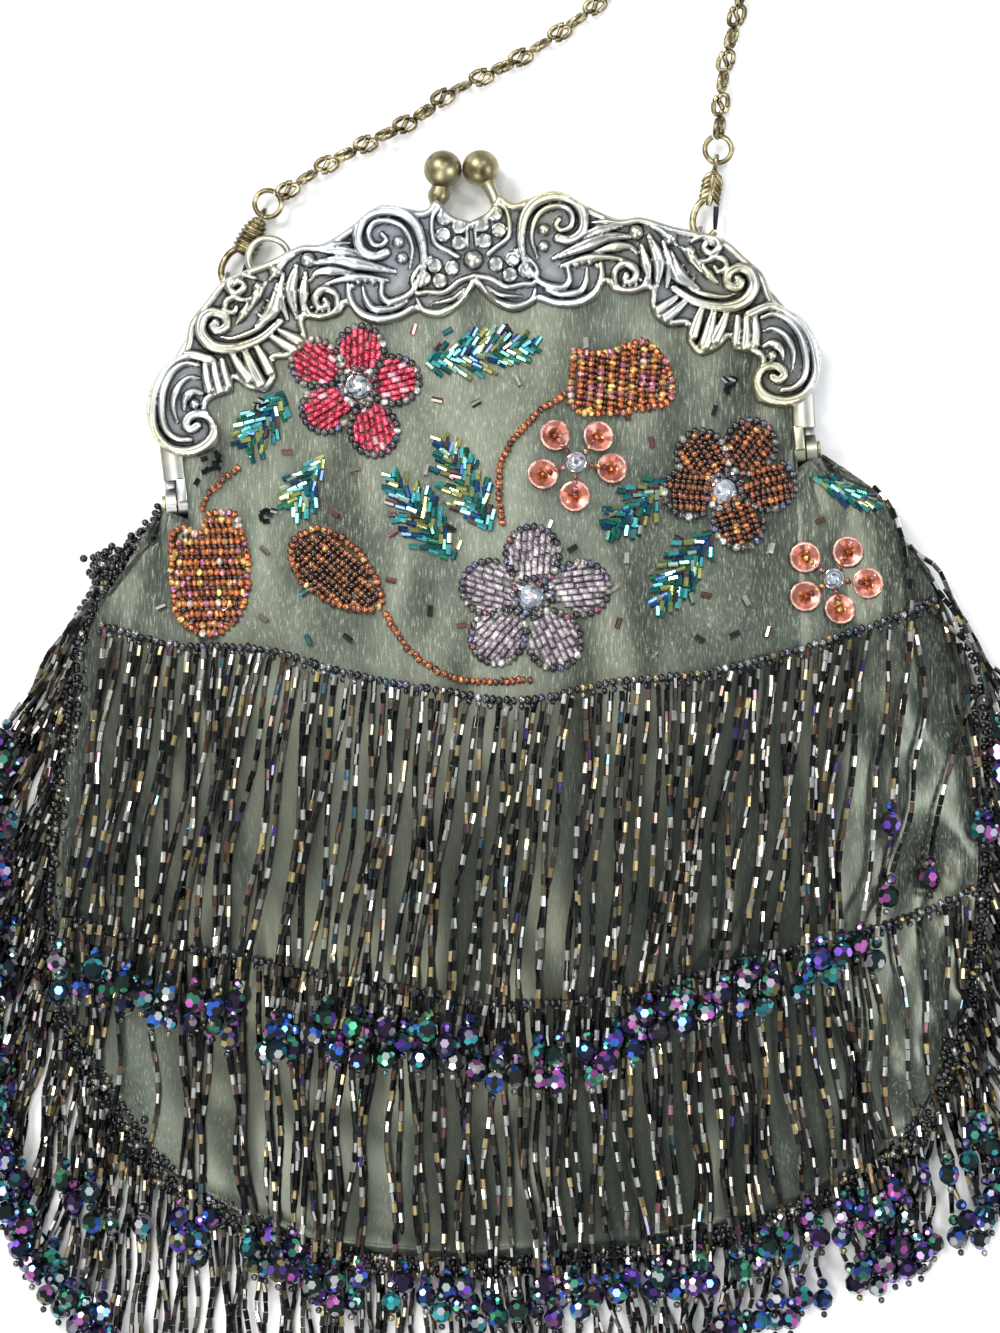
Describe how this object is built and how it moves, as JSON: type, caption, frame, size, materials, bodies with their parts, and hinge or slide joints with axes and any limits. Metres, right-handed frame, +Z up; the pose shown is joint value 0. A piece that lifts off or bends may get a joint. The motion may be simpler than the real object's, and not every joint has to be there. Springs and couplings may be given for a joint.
{
  "type": "beaded evening handbag",
  "caption": "Satin evening handbag lying on its back, with a stamped kiss-lock frame, bead embroidery, tiers of bead fringe and a chain handle.",
  "frame": {"origin": "on the surface under the middle of the pouch's back", "axes": "+Z up off the surface the bag lies on, +Y from the bag's bottom towards its chain, +X to the right of the front"},
  "size_m": [0.2416, 0.4242, 0.0252],
  "materials": {
    "satin": "olive satin with a soft sheen",
    "silver_metal": "antique silvered, dark in the recesses",
    "antique_brass": "aged, soft polish",
    "dark_steel": "blued",
    "jet_glass": "iridescent dark cut glass",
    "gunmetal_glass": "metallic dark seed beads",
    "red_glass": "silver-lined bugles",
    "lilac_glass": "silver-lined bugles",
    "brown_glass": "brown seed beads",
    "amber_glass": "amber and rose seed beads",
    "teal_glass": "iridescent green bugles",
    "coral_sequin": "cupped, pearly",
    "crystal": "faceted, foil backed"
  },
  "bodies": {
    "bag": {"pouch": "satin", "front_frame": "silver_metal", "back_frame": "silver_metal", "left_hinge_pin": "antique_brass", "right_hinge_pin": "antique_brass", "chain": "antique_brass", "left_ring": "antique_brass", "right_ring": "antique_brass", "left_clasp": "antique_brass", "right_clasp": "antique_brass", "upper_fringe": "jet_glass", "lower_fringe": "jet_glass", "left_fringe": "jet_glass", "bottom_fringe": "jet_glass", "right_fringe": "jet_glass", "upper_row": "gunmetal_glass", "lower_row": "gunmetal_glass", "rim_trim": "gunmetal_glass", "red_flower": "red_glass", "lilac_flower": "lilac_glass", "brown_flower": "brown_glass", "bud": "brown_glass", "left_tulip": "amber_glass", "right_tulip": "amber_glass", "left_stem": "amber_glass", "right_stem": "amber_glass", "bud_stem": "amber_glass", "leaf_1": "teal_glass", "leaf_2": "teal_glass", "leaf_3": "teal_glass", "leaf_4": "teal_glass", "leaf_5": "teal_glass", "leaf_6": "teal_glass", "leaf_7": "teal_glass", "leaf_8": "teal_glass", "sequin_a1": "coral_sequin", "sequin_a2": "coral_sequin", "sequin_a3": "coral_sequin", "sequin_a4": "coral_sequin", "sequin_a5": "coral_sequin", "sequin_b1": "coral_sequin", "sequin_b2": "coral_sequin", "sequin_b3": "coral_sequin", "sequin_b4": "coral_sequin", "sequin_b5": "coral_sequin", "red_stone": "crystal", "lilac_stone": "crystal", "brown_stone": "crystal", "stone_a": "crystal", "stone_b": "crystal"},
    "left_gate": {"left_gate": "dark_steel"},
    "right_gate": {"right_gate": "dark_steel"}
  },
  "joints": [
    {"name": "left_gate_hinge", "type": "hinge", "parent": "bag", "child": "left_gate", "pos_m": [-0.05945, 0.12787, 0.0026], "axis": [0, 0, -1], "range_deg": [0, 16], "stiffness_Nm_per_rad": 0.01},
    {"name": "right_gate_hinge", "type": "hinge", "parent": "bag", "child": "right_gate", "pos_m": [0.04517, 0.13939, 0.0026], "axis": [0, 0, -1], "range_deg": [0, 16], "stiffness_Nm_per_rad": 0.01}
  ]
}
